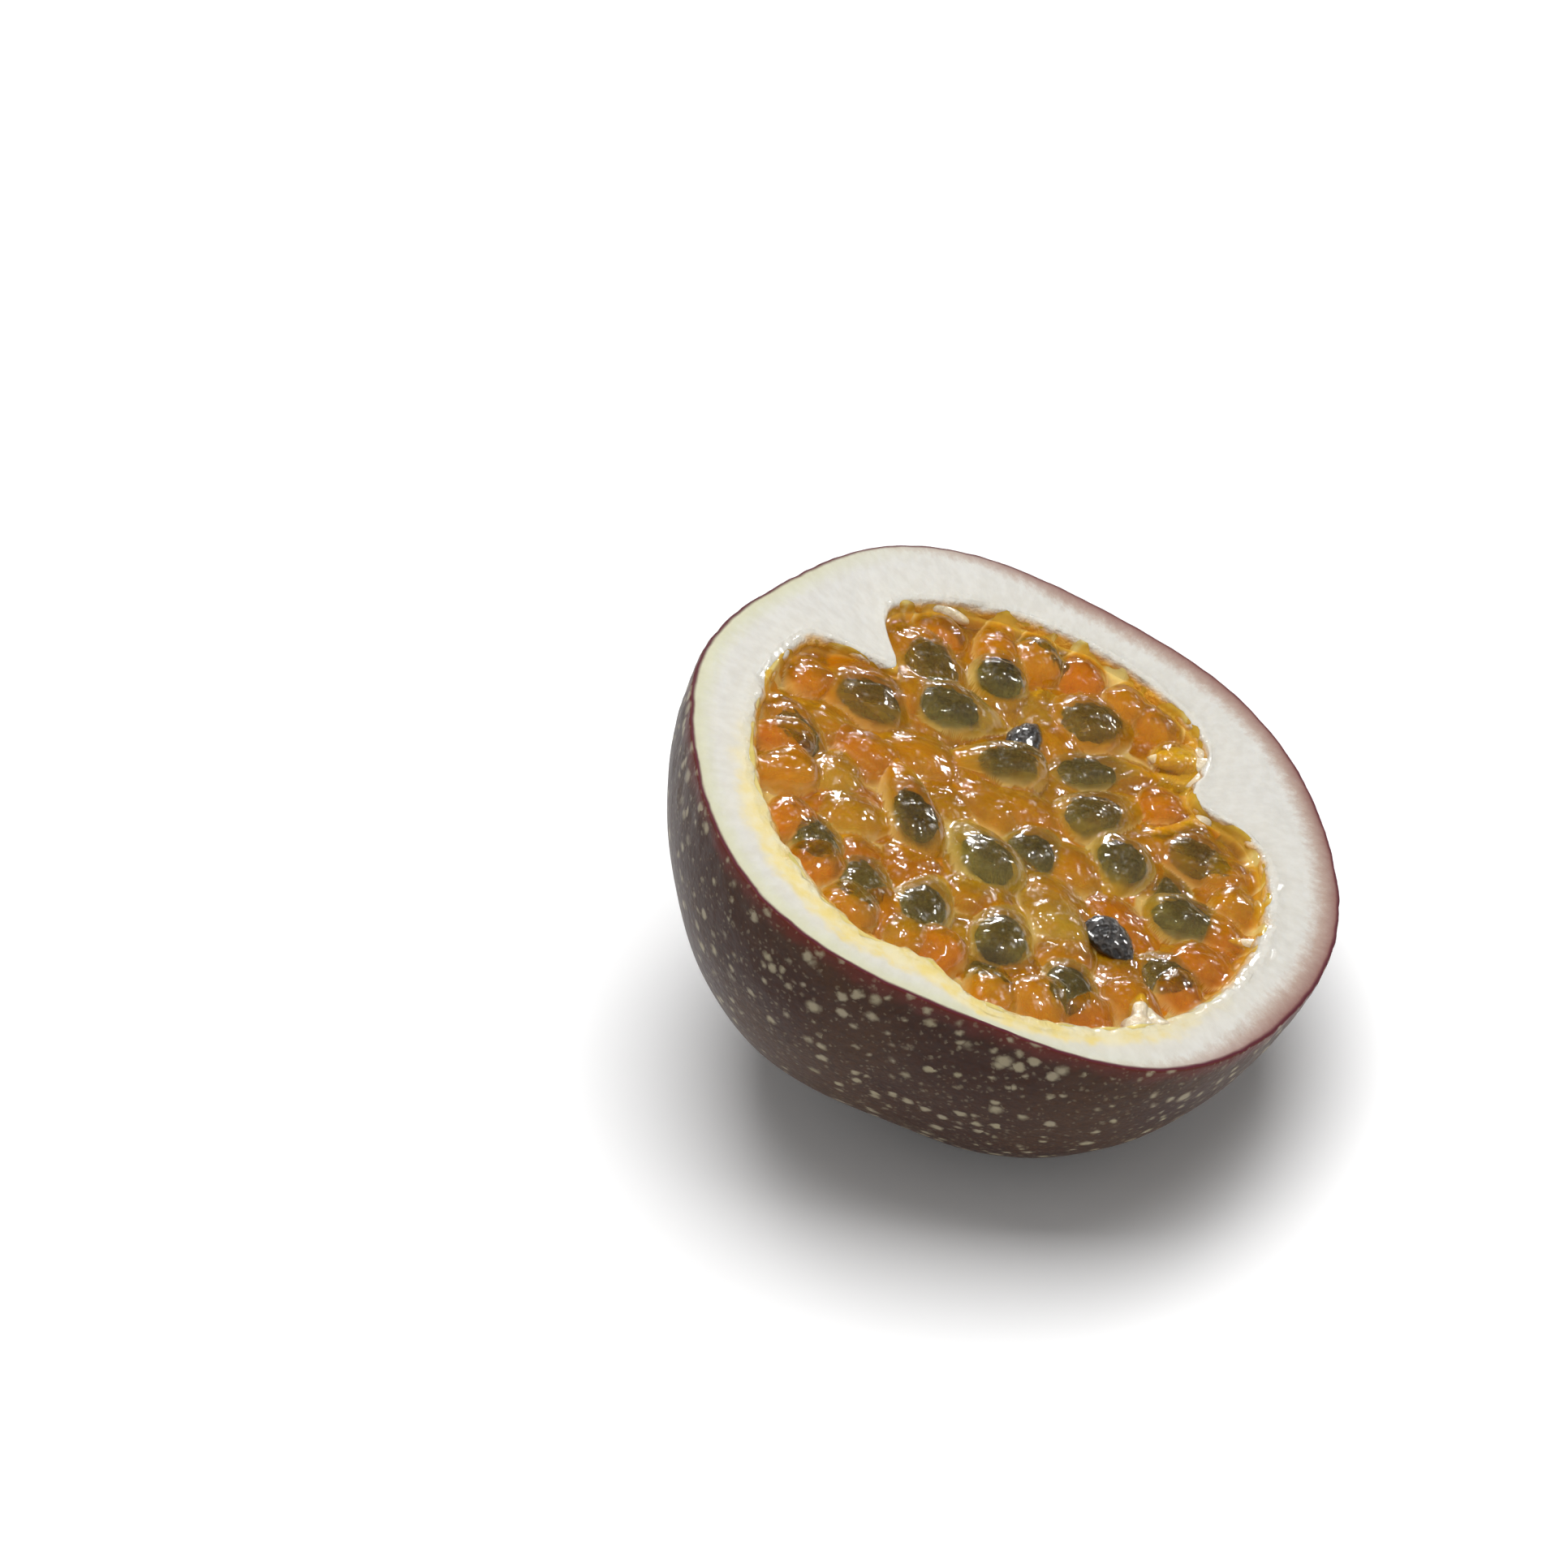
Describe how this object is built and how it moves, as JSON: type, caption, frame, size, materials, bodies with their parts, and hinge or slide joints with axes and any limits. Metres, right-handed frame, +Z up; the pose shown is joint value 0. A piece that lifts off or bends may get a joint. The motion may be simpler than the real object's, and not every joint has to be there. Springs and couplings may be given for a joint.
{
  "type": "halved passion fruit",
  "caption": "Half a purple passion fruit, cut across: a domed speckled rind with white pith, holding a pulp of amber juice sacs with dark seeds.",
  "frame": {"origin": "middle of the small flat on the rind that the half rests on", "axes": "+Z up, square to that flat; +X towards the side that the cut leans down to; +Y across, away from the side that the picture is taken from"},
  "size_m": [0.0539, 0.0563, 0.0374],
  "materials": {
    "rind": "waxy purple-brown skin with pale speckles; dull cream-white pith on the cut",
    "pulp": "wet, translucent amber juice sacs",
    "seed": "near-black, finely pitted, wet"
  },
  "bodies": {
    "root": {"rind": "rind", "pulp": "pulp", "seed_01": "seed", "seed_02": "seed", "seed_03": "seed", "seed_04": "seed", "seed_05": "seed", "seed_06": "seed", "seed_07": "seed", "seed_08": "seed", "seed_09": "seed", "seed_10": "seed", "seed_11": "seed", "seed_12": "seed", "seed_13": "seed", "seed_14": "seed", "seed_15": "seed", "seed_16": "seed", "seed_17": "seed", "seed_18": "seed", "seed_19": "seed", "seed_20": "seed", "seed_21": "seed", "seed_22": "seed", "seed_23": "seed", "seed_24": "seed", "seed_25": "seed", "seed_26": "seed"}
  },
  "joints": []
}
